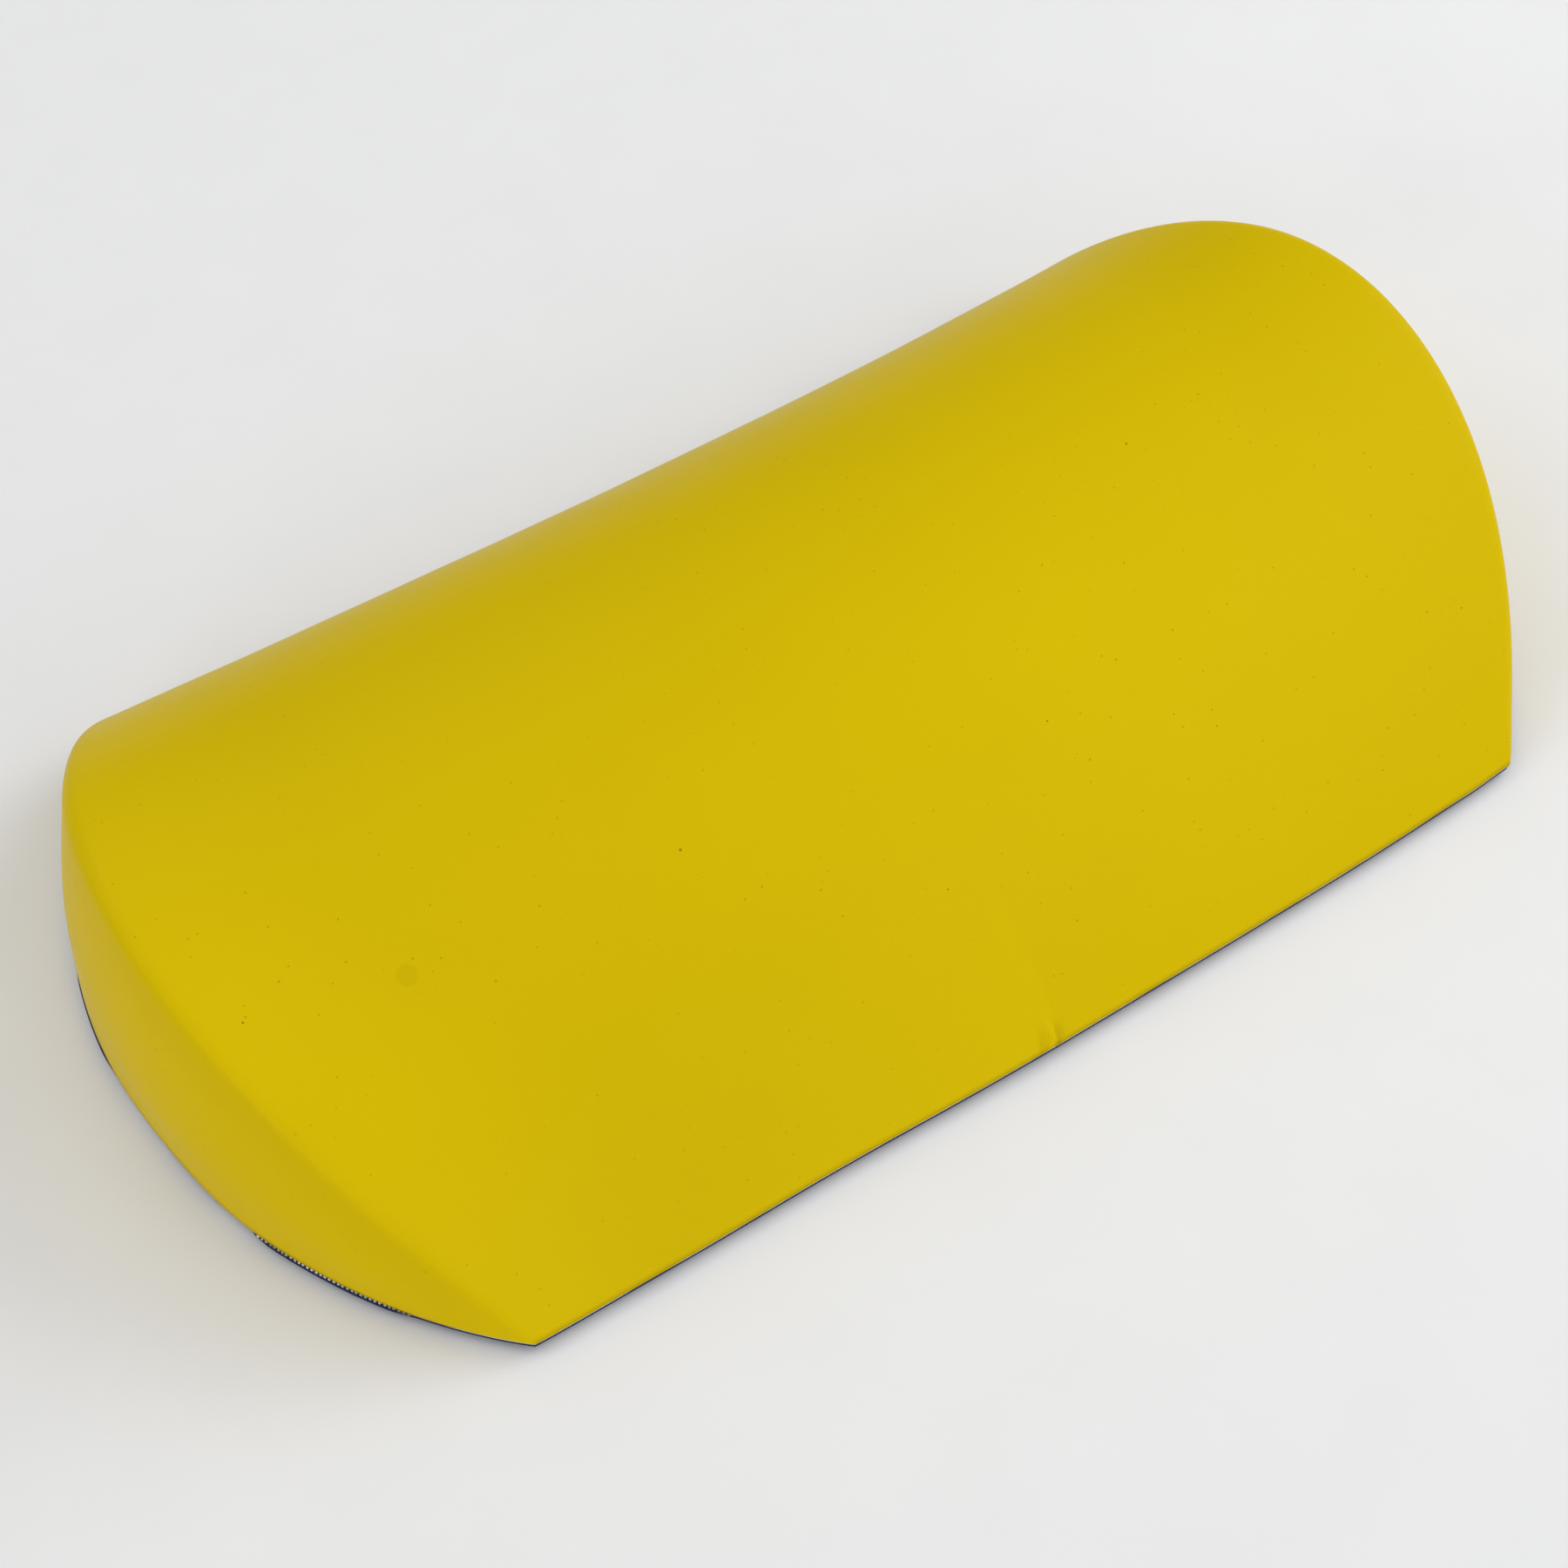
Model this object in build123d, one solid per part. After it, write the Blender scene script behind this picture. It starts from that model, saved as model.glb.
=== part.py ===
from build123d import *
import os
from math import atan2, degrees

# Headrest cushion for a bath or spa: an arched foam pad in a thin moulded skin, on a
# stiff board and a cloth base, held to the tub by four suction cups in recesses.
# Frame: origin at the bottom centre, X along the length, Y from front to back, +Z up.
# The floor is Z = 0, where the lips of the suction cups stand.

# ---- driving dimensions, millimetres ----
LENGTH = 320.0                # over the crowns of the two end walls
WIDTH = 176.0                 # front edge to back edge, at mid length
ARCH_HEIGHT = 53.0            # underside of the base cloth to the crest
END_BULGE = 39.0              # how far an end wall bows out between its two corners
END_DRAFT = 9.0               # degrees that the end walls lean in
EDGE_BOW = 2.5                # how far the front edge bows forward between its corners
SHOULDER = 43.0               # half the span between the arch curve's control points
CREST_SHIFT = 7.0             # how far those control points sit towards the back
CREASE_RADIUS = 3.0           # soft edge between the arch and an end wall

LIP_PROUD = 1.2               # how far the cup lips stand below the cloth
CLOTH_THICK = 1.4
FILM_THICK = 0.4
SKIN_THICK = 1.2

BOARD_THICK = 2.5
BOARD_MARGIN = 13.0           # from the pad's edge to the board's edge
BOARD_CORNER = 8.0
CUP_SPACING_X = 160.0
CUP_SPACING_Y = 76.0
WELL_RADIUS = 25.0
WELL_WALL = 2.0
WELL_ROOF_Z = 11.0            # underside of a well's roof
SOCKET_HOLE_RADIUS = 8.0

CUP_RADIUS = 20.5
CUP_HEIGHT = 7.2              # lip to the top of the bell
LIP_THICK = 0.9
LIP_WIDTH = 0.9
BELL_HOLLOW = 4.6             # depth of the hollow under the bell
HUB_RADIUS = 6.5
NECK_RADIUS = 4.5
NECK_CLEARANCE = 0.05         # radial running clearance of the neck in its socket
HEAD_RADIUS = 6.2
HEAD_RIM = 1.2
HEAD_TIP_RADIUS = 2.6
HEAD_TOP_Z = 20.5
TAB_RADIUS = 4.5              # rounded pull tab at the lip
TAB_REACH = 23.8
TAB_LOW_Z = 0.4
TAB_THICK = 1.2

FLANGE_RADIUS = 11.0
FLANGE_THICK = 0.8
SNAP_RADIUS = 8.9
SNAP_HEIGHT = 1.2
END_PLAY = 0.3                # gap between a cup and its socket, above and below
POCKET_RADIUS = 11.0
POCKET_TOP_Z = 23.0

# ---- levels and places worked out from them ----
CLOTH_Z = LIP_PROUD
FILM_Z = CLOTH_Z + CLOTH_THICK
PAD_Z = FILM_Z + FILM_THICK
PAD_HEIGHT = CLOTH_Z + ARCH_HEIGHT - PAD_Z
BOARD_TOP_Z = PAD_Z + BOARD_THICK
WELL_TOP_Z = WELL_ROOF_Z + BOARD_THICK
FLANGE_Z = WELL_ROOF_Z - FLANGE_THICK
SNAP_TOP_Z = WELL_TOP_Z + SNAP_HEIGHT
HUB_TOP_Z = FLANGE_Z - END_PLAY
HEAD_Z = SNAP_TOP_Z + END_PLAY

CORNER_X = LENGTH / 2 - END_BULGE
BOW_RADIUS = (CORNER_X**2 + EDGE_BOW**2) / (2 * EDGE_BOW)
BACK_RADIUS = BOW_RADIUS - WIDTH
BACK_BOW = BACK_RADIUS - (BACK_RADIUS**2 - CORNER_X**2) ** 0.5
FRONT_Y = -(WIDTH + BACK_BOW) / 2
BOW_AXIS = Axis((0, FRONT_Y + BOW_RADIUS, 0), (0, 0, 1))
MID_Y = FRONT_Y + WIDTH / 2
END_MID_Y = MID_Y + (EDGE_BOW + BACK_BOW) / 2
END_RADIUS = ((WIDTH / 2) ** 2 + END_BULGE**2) / (2 * END_BULGE)
END_CENTRE_X = LENGTH / 2 - END_RADIUS

# name of each cup, with its place across the length and the width
CUPS = {
    "front_left": (-1, -1),
    "front_right": (1, -1),
    "back_left": (-1, 1),
    "back_right": (1, 1),
}


def cup_place(side, row):
    """Where a cup's axis meets the floor."""
    return Pos(side * CUP_SPACING_X / 2, MID_Y + row * CUP_SPACING_Y / 2, 0)


def disc(radius, low, high):
    """A round slab on the Z axis."""
    return Pos(0, 0, low) * extrude(Circle(radius), amount=high - low)


def plan(inset, side_room):
    """Plan view between the two bowed ends; the long sides lie side_room outside."""
    radius = END_RADIUS - inset
    reach = WIDTH / 2 + side_room
    corner = END_CENTRE_X + (radius**2 - reach**2) ** 0.5
    tip = END_CENTRE_X + radius
    front = Line((-corner, -reach), (corner, -reach))
    right = ThreePointArc((corner, -reach), (tip, 0), (corner, reach))
    back = Line((corner, reach), (-corner, reach))
    left = ThreePointArc((-corner, reach), (-tip, 0), (-corner, -reach))
    return Pos(0, END_MID_Y, 0) * make_face(front + right + back + left)


def arch_section(inset):
    """The arch's section across the width, carried on below its base line."""
    foot = 5.0
    half = WIDTH / 2
    control_height = 4 / 3 * PAD_HEIGHT
    arch = Bezier(
        (-half, 0),
        (CREST_SHIFT - SHOULDER, control_height),
        (CREST_SHIFT + SHOULDER, control_height),
        (half, 0),
    )
    if inset > 0:
        steps = 16
        stations = [i / steps for i in range(steps + 1)]
        inner = []
        for t in stations:
            inwards = arch.tangent_at(t).rotate(Axis.Z, -90)
            inner.append(arch.position_at(t) + inwards * inset)
        arch = Spline(*inner, tangents=[arch.tangent_at(0), arch.tangent_at(1)])
    start = arch.position_at(0)
    end = arch.position_at(1)
    below = Polyline(end, (end.X, -foot), (start.X, -foot), start)
    return Plane.YZ * (Pos(MID_Y, 0) * make_face(arch + below))


def pad_form(inset):
    """The pad above PAD_Z, moved in by inset everywhere but at its flat underside."""
    sweep = degrees(atan2(LENGTH / 2 + 10, BACK_RADIUS))
    section = arch_section(inset).rotate(BOW_AXIS, -sweep)
    arch = revolve(section, BOW_AXIS, 2 * sweep)
    block = extrude(plan(inset, side_room=12), amount=PAD_HEIGHT + 5, taper=END_DRAFT)
    form = Pos(0, 0, PAD_Z) * (arch & block)
    creases = [e for e in form.edges() if e.center().Z > PAD_Z + 1]
    return fillet(creases, CREASE_RADIUS - inset)


def base_layer(form, low, high):
    """A flat layer with the pad's outline, open where the four recesses are."""
    outline = form.faces().sort_by(Axis.Z)[0]
    layer = Pos(0, 0, low - PAD_Z) * extrude(outline, amount=high - low, dir=(0, 0, 1))
    for place in CUPS.values():
        layer -= cup_place(*place) * disc(WELL_RADIUS, low - 1, high + 1)
    return layer


def board_envelope():
    """The board with its wells as full blocks, which is what the foam leaves free."""
    flat = fillet(plan(BOARD_MARGIN, -BOARD_MARGIN).vertices(), BOARD_CORNER)
    board = Pos(0, 0, PAD_Z) * extrude(flat, amount=BOARD_THICK)
    for place in CUPS.values():
        board += cup_place(*place) * disc(WELL_RADIUS + WELL_WALL, PAD_Z, WELL_TOP_Z)
    return board


def base_board():
    """Stiff moulded plate with four round wells, each with a socket hole in its roof."""
    board = board_envelope()
    for place in CUPS.values():
        board -= cup_place(*place) * disc(WELL_RADIUS, PAD_Z - 1, WELL_ROOF_Z)
        board -= cup_place(*place) * disc(SOCKET_HOLE_RADIUS, PAD_Z, WELL_TOP_Z + 1)
    return board


def foam_core(inner_form):
    """Foam that fills the skin, with room for the board and the four cup heads."""
    core = inner_form - board_envelope()
    for place in CUPS.values():
        core -= cup_place(*place) * disc(POCKET_RADIUS, PAD_Z, POCKET_TOP_Z)
    return core


def cup_socket():
    """Snap-in bush: a flange below the well's roof and a snap lip above it."""
    bush = disc(FLANGE_RADIUS, FLANGE_Z, WELL_ROOF_Z)
    bush += disc(SOCKET_HOLE_RADIUS, WELL_ROOF_Z, WELL_TOP_Z)
    lip = disc(SNAP_RADIUS, WELL_TOP_Z, SNAP_TOP_Z)
    lip = chamfer(lip.edges().sort_by(Axis.Z)[-1], 0.6)
    return bush + lip - disc(NECK_RADIUS + NECK_CLEARANCE, FLANGE_Z - 1, SNAP_TOP_Z + 1)


def suction_cup(side, row):
    """Soft cup in one moulding: bell, hub, neck, push-in head and pull tab."""
    inner_radius = CUP_RADIUS - LIP_WIDTH
    outside = ThreePointArc(
        (CUP_RADIUS, LIP_THICK), (14.0, 5.2), (HUB_RADIUS, CUP_HEIGHT)
    )
    stem = Polyline(
        (HUB_RADIUS, CUP_HEIGHT),
        (HUB_RADIUS, HUB_TOP_Z),
        (NECK_RADIUS, HUB_TOP_Z),
        (NECK_RADIUS, HEAD_Z),
        (HEAD_RADIUS, HEAD_Z),
        (HEAD_RADIUS, HEAD_Z + HEAD_RIM),
        (HEAD_TIP_RADIUS, HEAD_TOP_Z),
        (0, HEAD_TOP_Z),
        (0, BELL_HOLLOW),
    )
    hollow = ThreePointArc((0, BELL_HOLLOW), (11.0, 3.4), (inner_radius, 0))
    lip = Polyline((inner_radius, 0), (CUP_RADIUS, 0), (CUP_RADIUS, LIP_THICK))
    section = Plane.XZ * make_face(outside + stem + hollow + lip)
    cup = revolve(section, Axis.Z)
    centre = TAB_REACH - TAB_RADIUS
    ear = Pos(centre, 0, 0) * disc(TAB_RADIUS, TAB_LOW_Z, TAB_LOW_Z + TAB_THICK)
    ear -= disc(CUP_RADIUS - LIP_WIDTH / 2, 0, TAB_LOW_Z + TAB_THICK + 1)
    # the tab is joined where the section lies and the whole cup is turned afterwards,
    # because the union drops a tab that has been turned to one of the diagonals
    outwards = degrees(atan2(row, side))
    return Rot(0, 0, outwards) * (cup + ear)


def save(name, solid):
    export_step(solid, os.path.join("parts", name + ".step"))


def main():
    os.makedirs("parts", exist_ok=True)
    outer_form = pad_form(0)
    inner_form = pad_form(SKIN_THICK)
    save("cover_skin", outer_form - inner_form)
    save("foam_core", foam_core(inner_form))
    save("base_board", base_board())
    save("bond_film", base_layer(outer_form, FILM_Z, PAD_Z))
    save("base_cloth", base_layer(outer_form, CLOTH_Z, FILM_Z))
    for name, place in CUPS.items():
        save("suction_cup_" + name, cup_place(*place) * suction_cup(*place))
        save("cup_socket_" + name, cup_place(*place) * cup_socket())


main()
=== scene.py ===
import bisect
import math
import random
import bmesh
import bpy
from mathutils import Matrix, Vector, noise
from mathutils.geometry import delaunay_2d_cdt


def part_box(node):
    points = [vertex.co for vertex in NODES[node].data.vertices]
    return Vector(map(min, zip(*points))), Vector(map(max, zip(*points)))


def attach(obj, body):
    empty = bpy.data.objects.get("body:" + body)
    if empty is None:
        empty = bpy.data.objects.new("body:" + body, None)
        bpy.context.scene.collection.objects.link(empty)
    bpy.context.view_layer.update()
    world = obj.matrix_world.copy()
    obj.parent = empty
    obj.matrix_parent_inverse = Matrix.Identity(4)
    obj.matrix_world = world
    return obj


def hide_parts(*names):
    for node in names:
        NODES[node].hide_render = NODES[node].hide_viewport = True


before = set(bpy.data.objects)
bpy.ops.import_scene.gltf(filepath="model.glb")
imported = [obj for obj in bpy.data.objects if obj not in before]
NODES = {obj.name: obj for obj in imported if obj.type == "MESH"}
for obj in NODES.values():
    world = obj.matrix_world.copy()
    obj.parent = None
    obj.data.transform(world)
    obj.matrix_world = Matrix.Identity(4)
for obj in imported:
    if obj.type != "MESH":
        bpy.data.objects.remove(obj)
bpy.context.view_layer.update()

MM = 0.001

# ---- the pad's shape, in metres, as the CAD model has it ----
SKIN_LOW, SKIN_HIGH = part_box("cover_skin")
CLOTH_LOW, CLOTH_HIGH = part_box("base_cloth")
LENGTH = SKIN_HIGH.x - SKIN_LOW.x
WIDTH = 176 * MM
HEIGHT = SKIN_HIGH.z - SKIN_LOW.z
PAD_Z = SKIN_LOW.z
END_BULGE = 39 * MM
END_SLOPE = math.tan(math.radians(9))
EDGE_BOW = 2.5 * MM
SHOULDER = 43 * MM
CREST_SHIFT = 7 * MM
SKIN_THICK = 1.2 * MM
CREASE = 3.2 * MM             # reach of the soft crease
WELL_RADIUS = 25 * MM
SOCKETS = [n for n in sorted(NODES) if n.startswith("cup_socket")]
CUP_PLACES = [(low + high) / 2 for low, high in (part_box(n) for n in SOCKETS)]

CORNER_X = LENGTH / 2 - END_BULGE
BOW_RADIUS = (CORNER_X**2 + EDGE_BOW**2) / (2 * EDGE_BOW)
BACK_RADIUS = BOW_RADIUS - WIDTH
BACK_BOW = BACK_RADIUS - math.sqrt(BACK_RADIUS**2 - CORNER_X**2)
FRONT_Y = -(WIDTH + BACK_BOW) / 2
MID_Y = FRONT_Y + WIDTH / 2
BOW_AXIS_Y = FRONT_Y + BOW_RADIUS
END_MID_Y = MID_Y + (EDGE_BOW + BACK_BOW) / 2
END_RADIUS = ((WIDTH / 2) ** 2 + END_BULGE**2) / (2 * END_BULGE)
END_CENTRE_X = LENGTH / 2 - END_RADIUS

# ---- mesh fineness ----
ROWS = 190
WALL_STEPS = 22
CREASE_STEPS = 8
TOP_STEPS = 280


def smoothstep(low, high, value):
    """0 at low to 1 at high, smooth; low may be the larger."""
    s = min(max((value - low) / (high - low), 0), 1)
    return s * s * (3 - 2 * s)


def bell(value, width):
    return math.exp(-((value / width) ** 2))


# ---------------------------------------------------------------- pad shape
def arch_point(t, inset):
    """Y and height at station t, 0 at the front edge to 1 at the back edge."""
    half = WIDTH / 2
    s = 1 - t
    y = half * (t**3 - s**3)
    y += 3 * s * t * (t * (CREST_SHIFT + SHOULDER) + s * (CREST_SHIFT - SHOULDER))
    z = 4 * HEIGHT * s * t
    if inset:
        slope_y = 3 * half * (t * t + s * s)
        slope_y += 3 * (t * (2 - 3 * t) * (CREST_SHIFT + SHOULDER))
        slope_y += 3 * (s * (1 - 3 * t) * (CREST_SHIFT - SHOULDER))
        slope_z = 4 * HEIGHT * (1 - 2 * t)
        size = math.hypot(slope_y, slope_z)
        y += inset * slope_z / size
        z -= inset * slope_y / size
    return MID_Y + y, z


def first_station(inset):
    """The station where the inset arch leaves the base plane."""
    low, high = 0.0, 0.3
    for _ in range(40):
        middle = (low + high) / 2
        if arch_point(middle, inset)[1] < 0:
            low = middle
        else:
            high = middle
    return high if inset else 0.0


def on_arch(x, y, z):
    """A point of the section line at y, z, with the pad's slight bow put in."""
    radius = BOW_AXIS_Y - y
    return Vector((x, BOW_AXIS_Y - math.sqrt(radius**2 - x**2), PAD_Z + z))


def crease_x(y, z, inset):
    """How far out the section line at y, z meets the end wall."""
    x = CORNER_X
    radius = END_RADIUS - inset - z * END_SLOPE
    for _ in range(12):
        off = on_arch(x, y, z).y - END_MID_Y
        x = END_CENTRE_X + math.sqrt(max(radius**2 - off**2, 0))
    return x


def wall_foot(crease, side, inset):
    """The point of the base edge straight below a crease point, down the end wall."""
    out = Vector((crease.x - side * END_CENTRE_X, crease.y - END_MID_Y, 0)).normalized()
    out *= END_RADIUS - inset
    return Vector((side * END_CENTRE_X + out.x, END_MID_Y + out.y, PAD_Z))


WALL_SWELL = {-1: 1.5 * MM, 1: 0.5 * MM}  # how far the middle of each end wall swells out
SWELL_WALLS = (6 * MM, 34 * MM)  # wall heights at which the swell starts and is full
SWELL_BACK = (28 * MM, 58 * MM)  # stretch in Y over which it turns towards a hollow
SWELL_TURN = 1.4              # how far it turns: 1 is flat, more is a hollow
LOWEST_WALL = 1 * MM


def wall_swell(height, wall, y, side):
    """How far an end wall of that full height stands out, at a height above the base."""
    share = math.sin(math.pi * min(height / max(wall, LOWEST_WALL), 1))
    swell = WALL_SWELL[side] * share * smoothstep(*SWELL_WALLS, wall)
    return swell * (1 - SWELL_TURN * smoothstep(*SWELL_BACK, y))


def half_section(y, z, side, inset):
    """Points from the base edge up the end wall and over the crease, on one side."""
    reach = crease_x(y, z, inset)
    crease = on_arch(side * reach, y, z)
    foot = wall_foot(crease, side, inset)
    down = foot - crease
    soft = min(CREASE - inset, 0.45 * down.length)
    start = crease + down * (soft / down.length) if down.length > 1e-9 else crease
    end = on_arch(side * (reach - soft), y, z)
    points = [foot.lerp(start, i / WALL_STEPS) for i in range(WALL_STEPS)]
    for i in range(CREASE_STEPS):
        u = i / CREASE_STEPS
        points.append(start.lerp(crease, u).lerp(crease.lerp(end, u), u))
    outwards = Vector((foot.x - side * END_CENTRE_X, foot.y - END_MID_Y, 0)).normalized()
    wall = crease.z - PAD_Z
    points = [p + outwards * wall_swell(p.z - PAD_Z, wall, y, side) for p in points]
    return points, reach - soft


def section(t, inset):
    """One closed-below section of the pad: up one end, along the arch, down the other."""
    y, z = arch_point(t, inset)
    z = max(z, 0)
    left, left_reach = half_section(y, z, -1, inset)
    right, right_reach = half_section(y, z, 1, inset)
    span = left_reach + right_reach
    top = [
        on_arch(-left_reach + span * i / TOP_STEPS, y, z) for i in range(TOP_STEPS + 1)
    ]
    return left + top + right[::-1]


def pad_rows(inset):
    first = first_station(inset)
    stations = [first + (1 - 2 * first) * j / ROWS for j in range(ROWS + 1)]
    return [section(t, inset) for t in stations]


def base_loop(rows):
    """The base edge as one closed loop of grid places, counter-clockwise from above."""
    last = len(rows[0]) - 1
    loop = [(0, i) for i in range(last)]
    loop += [(j, last) for j in range(ROWS)]
    loop += [(ROWS, i) for i in range(last, 0, -1)]
    loop += [(j, 0) for j in range(ROWS, 0, -1)]
    return loop


# ---------------------------------------------------------------- soft relief of the skin
# the base edge's strays from the plain outline, each with its size and its reach
CORNER_STRAYS = [(-1, 0.4 * MM, 17 * MM), (1, 0.35 * MM, 12 * MM)]  # side first
LEFT_HOLLOWS = [(-11 * MM, 1.0 * MM, 22 * MM), (-50 * MM, 0.35 * MM, 15 * MM)]  # Y first
FRONT_HOLLOW = (-52 * MM, 0.8 * MM, 30 * MM)  # X first
FRONT_FULL = (88 * MM, 0.75 * MM, 45 * MM)    # X first
FRONT_STRIP = 20 * MM         # only this near the front edge do the front strays apply
CORNER_FADE = (1 * MM, -12 * MM)  # past and before the right corner, where they fade out
WANDER_HEIGHT = 16 * MM       # how far up the side the strays carry
LEAST_TILT = 0.1              # flatter places than this don't move sideways


def edge_wander(p):
    """How far the base edge strays outwards from the plain outline, at a place in plan."""
    shift = 0.0
    for side, size, reach in CORNER_STRAYS:
        shift += size * bell((p.xy - Vector((side * CORNER_X, FRONT_Y))).length, reach)
    if p.x < -CORNER_X:
        for y, size, reach in LEFT_HOLLOWS:
            shift -= size * bell(p.y - y, reach)
        return shift
    if p.y < FRONT_Y + FRONT_STRIP:
        x, size, reach = FRONT_HOLLOW
        shift -= size * bell(p.x - x, reach)
        past, before = CORNER_FADE
        before_corner = smoothstep(CORNER_X + past, CORNER_X + before, p.x)
        x, size, reach = FRONT_FULL
        shift += size * bell(p.x - x, reach) * before_corner
    return shift


def wandered(v):
    """The shift of a vertex that follows the base edge, fading out up the side."""
    share = smoothstep(WANDER_HEIGHT, 0, v.co.z - PAD_Z)
    outwards = Vector((v.normal.x, v.normal.y, 0))
    if share == 0 or outwards.length < LEAST_TILT:
        return Vector()
    return outwards.normalized() * edge_wander(v.co) * share


STILL_EDGE = 7 * MM           # height over which the relief fades in from the base edge
SWELL_DEPTH, SWELL_SIZE = 0.34 * MM, 62 * MM
RIPPLE_DEPTH, RIPPLE_SIZE = 0.10 * MM, 24 * MM
RIPPLE_OFFSET = Vector((7, 3, 1))  # so that the ripples don't follow the swells


def relief(point):
    """How far the skin stands out of the plain form, in metres."""
    near_edge = smoothstep(0, STILL_EDGE, point.z - PAD_Z)
    swell = SWELL_DEPTH * noise.noise(point / SWELL_SIZE)
    ripple = RIPPLE_DEPTH * noise.noise(point / RIPPLE_SIZE + RIPPLE_OFFSET)
    return (swell + ripple + drift(point)) * near_edge + pinch(point)


FULL_DEPTH = 1.9 * MM         # the right end stands out by up to this much
FULL_FROM, FULL_TO = 112 * MM, 152 * MM   # in X
FULL_Y, FULL_REACH = 36 * MM, 40 * MM
SLACK_DEPTH = 0.9 * MM        # the back sags in by up to this much
SLACK_Y, SLACK_REACH_Y = 60 * MM, 38 * MM
SLACK_X, SLACK_REACH_X = 45 * MM, 95 * MM


def drift(point):
    """Where the moulding strays from the plain form: full at one end, slack at the back."""
    full = smoothstep(FULL_FROM, FULL_TO, point.x) * bell(point.y - FULL_Y, FULL_REACH)
    slack = bell(point.y - SLACK_Y, SLACK_REACH_Y) * bell(point.x - SLACK_X, SLACK_REACH_X)
    return FULL_DEPTH * full - SLACK_DEPTH * slack


PINCH_X = -3 * MM             # place of the small fold along the front edge
PINCH_DEPTH = 1.1 * MM
PINCH_TOP = 12 * MM           # the fold is below this height
PINCH_LEAN = 0.1              # how much the fold leans along the edge as it rises
RIDGE_WIDTH = 1.0 * MM
GROOVE_OFF, GROOVE_WIDTH = 1.9 * MM, 0.9 * MM  # the groove on each side of the ridge
LEFT_GROOVE, RIGHT_GROOVE = 0.5, 0.7           # their depths, as shares of the ridge
PINCH_RISE = (0, 1.2 * MM)    # heights over which the fold comes in
PINCH_FALL = (5.5 * MM, 1.5 * MM)  # and over which it dies out, from the top down


def pinch(point):
    """A small fold where the skin turns in at the front edge."""
    up = point.z - PAD_Z
    if point.y > MID_Y or up > PINCH_TOP:
        return 0
    lean = point.x - PINCH_X - PINCH_LEAN * up
    fold = bell(lean, RIDGE_WIDTH) - LEFT_GROOVE * bell(lean + GROOVE_OFF, GROOVE_WIDTH)
    fold -= RIGHT_GROOVE * bell(lean - GROOVE_OFF, GROOVE_WIDTH)
    return PINCH_DEPTH * fold * smoothstep(*PINCH_RISE, up) * smoothstep(*PINCH_FALL, up)


def add_grid(bm, rows, flip):
    """Vertices and faces of one surface; returns the vertices as rows."""
    grid = [[bm.verts.new(p) for p in row] for row in rows]
    for a, b in zip(grid, grid[1:]):
        for i in range(len(a) - 1):
            corners = [a[i], a[i + 1], b[i + 1], b[i]]
            bm.faces.new(corners[::-1] if flip else corners)
    return grid


def finish_mesh(bm, name, smooth=True):
    mesh = bpy.data.meshes.new(name)
    bm.normal_update()
    bm.to_mesh(mesh)
    bm.free()
    for face in mesh.polygons:
        face.use_smooth = smooth
    piece = bpy.data.objects.new(name, mesh)
    bpy.context.scene.collection.objects.link(piece)
    return piece


def make_skin():
    """The yellow skin: outer surface with its relief, inner surface and cut edge."""
    bm = bmesh.new()
    painted_shading = bm.verts.layers.float.new("painted_shading")
    outer_rows = pad_rows(0)
    outer = add_grid(bm, outer_rows, flip=False)
    inner = add_grid(bm, pad_rows(SKIN_THICK), flip=True)
    loop = base_loop(outer_rows)
    for (j, i), (k, m) in zip(loop, loop[1:] + loop[:1]):
        rim = bm.faces.new([outer[k][m], outer[j][i], inner[j][i], inner[k][m]])
        rim.material_index = 1
    outer_verts = {v for row in outer for v in row}
    bmesh.ops.remove_doubles(bm, verts=bm.verts, dist=1e-6)
    bmesh.ops.dissolve_degenerate(bm, dist=1e-6, edges=bm.edges)
    bm.normal_update()
    shifts = []
    for v in bm.verts:
        # painted light and shade for each vertex, kept as an attribute that scales the
        # skin's colour
        v[painted_shading] = painted_skin_light(v.co)
        shift = wandered_skin(v, v in outer_verts)
        if v in outer_verts:
            shift += v.normal * relief(v.co)
        shifts.append((v, shift))
    for v, shift in shifts:
        v.co += shift
    return finish_mesh(bm, "skin")


def wandered_skin(v, outside):
    """As wandered, for either surface of the skin: the inner one faces the other way."""
    shift = wandered(v)
    return shift if outside else -shift


ARCH_STEPS = 400
ARCH = [arch_point(k / ARCH_STEPS, 0) for k in range(ARCH_STEPS + 1)]


def depth_below_arch(point):
    """How far a point is below the arch's surface, straight down."""
    y = BOW_AXIS_Y - math.hypot(BOW_AXIS_Y - point.y, point.x)
    k = min(max(bisect.bisect(ARCH, (y, 0)), 1), len(ARCH) - 1)
    (y0, z0), (y1, z1) = ARCH[k - 1], ARCH[k]
    share = min(max((y - y0) / (y1 - y0), 0), 1)
    return z0 + (z1 - z0) * share - (point.z - PAD_Z)


# soft patches of painted light and painted shade on the skin: place in plan and reach in
# mm, and how much lighter
PAINTED_LIGHT_PATCHES = [
    (50, -40, 42, 0.045),
    (100, -50, 20, 0.02),
    (-80, -80, 60, -0.02),
    (-90, -80, 28, -0.04),
]


PLAIN_TONE = 0.978
ON_ARCH = 1 * MM              # a point less than this below the arch is on its surface
END_PAINTED_LIGHT = 0.04              # how much lighter the arch is painted towards the left end: painted light
END_PAINTED_LIGHT_REACH = (45 * MM, 5 * MM)  # from the end wall: where it starts and is full
CREASE_PAINTED_SHADE = 0.045             # how much darker the band of painted shade below each crease is
BAND_TOP = (0.5 * MM, 2.4 * MM)      # depths below the crease where it comes in
BAND_FOOT = (16 * MM, 4 * MM)        # and where it dies out, from the foot up
BAND_WALLS = (5 * MM, 18 * MM)       # wall heights at which it starts and is full


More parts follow.
